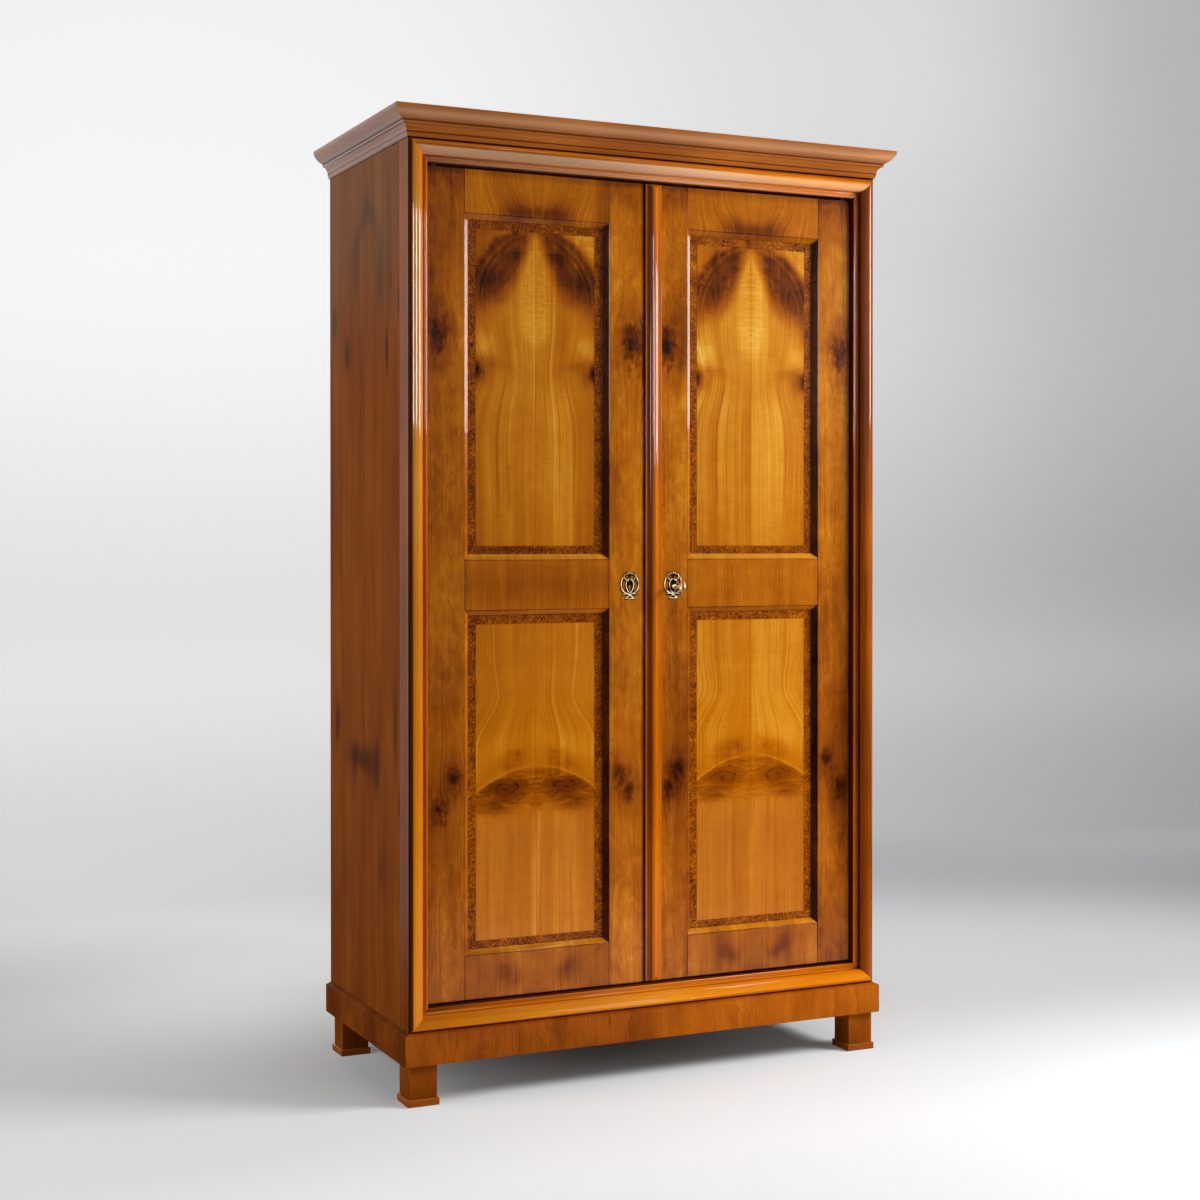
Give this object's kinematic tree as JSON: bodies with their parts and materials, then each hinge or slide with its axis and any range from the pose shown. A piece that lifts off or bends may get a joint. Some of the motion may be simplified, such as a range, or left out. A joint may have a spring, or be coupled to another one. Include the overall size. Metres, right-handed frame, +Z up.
{
  "type": "wardrobe cupboard",
  "caption": "Upright wardrobe cupboard with framed burl-panelled doors in a moulded face frame, a mitred cornice, and a plinth on block feet; hat shelf and clothes rail inside.",
  "frame": {"origin": "on the floor under the middle of the whole piece, cornice included", "axes": "+Z up, the doors face -Y, +X to the viewer's right when facing the doors"},
  "size_m": [1.112, 0.529, 1.9],
  "materials": {
    "figured_veneer": "french-polished figured veneer, golden brown",
    "burl_panel": "french-polished book-matched burl veneer with a burl border",
    "side_veneer": "polished straight-grained boards, darker brown",
    "moulding": "polished solid mouldings, reddish brown",
    "inner_pine": "plain planed softwood, unpolished",
    "brass": "cast brass, rubbed and slightly tarnished",
    "iron": "dark filed iron"
  },
  "bodies": {
    "carcass": {"foot_front_left": "moulding", "foot_front_right": "moulding", "foot_rear_left": "moulding", "foot_rear_right": "moulding", "pad_front_left": "moulding", "pad_front_right": "moulding", "pad_rear_left": "moulding", "pad_rear_right": "moulding", "plinth_front": "figured_veneer", "plinth_left": "figured_veneer", "plinth_right": "figured_veneer", "plinth_back": "inner_pine", "side_left": "side_veneer", "side_right": "side_veneer", "floor_board": "inner_pine", "top_board": "inner_pine", "back_board_1": "inner_pine", "back_board_2": "inner_pine", "back_board_3": "inner_pine", "shelf_cleat_left": "inner_pine", "shelf_cleat_right": "inner_pine", "clothes_rail": "moulding", "hat_shelf": "inner_pine", "frame_left": "moulding", "frame_right": "moulding", "frame_bottom": "moulding", "frame_top": "moulding", "pivot_socket_bottom_left": "iron", "pivot_socket_bottom_right": "iron", "pivot_socket_top_left": "iron", "pivot_socket_top_right": "iron", "cornice_front": "moulding", "cornice_left": "moulding", "cornice_right": "moulding"},
    "left_door": {"left_outer_stile": "figured_veneer", "left_inner_stile": "figured_veneer", "left_bottom_rail": "figured_veneer", "left_lock_rail": "figured_veneer", "left_top_rail": "figured_veneer", "left_lower_panel": "burl_panel", "left_upper_panel": "burl_panel", "left_pivot_top": "iron", "left_pivot_bottom": "iron", "left_escutcheon": "brass"},
    "right_door": {"right_outer_stile": "figured_veneer", "right_inner_stile": "figured_veneer", "right_bottom_rail": "figured_veneer", "right_lock_rail": "figured_veneer", "right_top_rail": "figured_veneer", "right_lower_panel": "burl_panel", "right_upper_panel": "burl_panel", "right_pivot_top": "iron", "right_pivot_bottom": "iron", "right_escutcheon": "brass", "cover_strip": "moulding", "lock_case": "iron"},
    "key": {"key": "brass"},
    "lock_bolt": {"lock_bolt": "iron"},
    "left_top_bolt": {"left_top_bolt": "iron"},
    "left_bottom_bolt": {"left_bottom_bolt": "iron"}
  },
  "joints": [
    {"name": "left_door_hinge", "type": "hinge", "parent": "carcass", "child": "left_door", "pos_m": [-0.459, -0.201, 0.187], "axis": [0, 0, -1], "range_deg": [0, 105]},
    {"name": "right_door_hinge", "type": "hinge", "parent": "carcass", "child": "right_door", "pos_m": [0.459, -0.201, 0.187], "axis": [0, 0, 1], "range_deg": [0, 105]},
    {"name": "key_turn", "type": "hinge", "parent": "right_door", "child": "key", "pos_m": [0.055, -0.207, 0.985], "axis": [0, -1, 0], "range_deg": [0, 360]},
    {"name": "lock_bolt_slide", "type": "slide", "parent": "right_door", "child": "lock_bolt", "axis": [-1, 0, 0], "range_m": [0, 0.012]},
    {"name": "left_top_bolt_slide", "type": "slide", "parent": "left_door", "child": "left_top_bolt", "axis": [0, 0, 1], "range_m": [0, 0.015]},
    {"name": "left_bottom_bolt_slide", "type": "slide", "parent": "left_door", "child": "left_bottom_bolt", "axis": [0, 0, -1], "range_m": [0, 0.015]}
  ],
  "couplings": [
    {"joint": "key_turn", "follows": "lock_bolt_slide", "rad_per_m": 523.59}
  ]
}
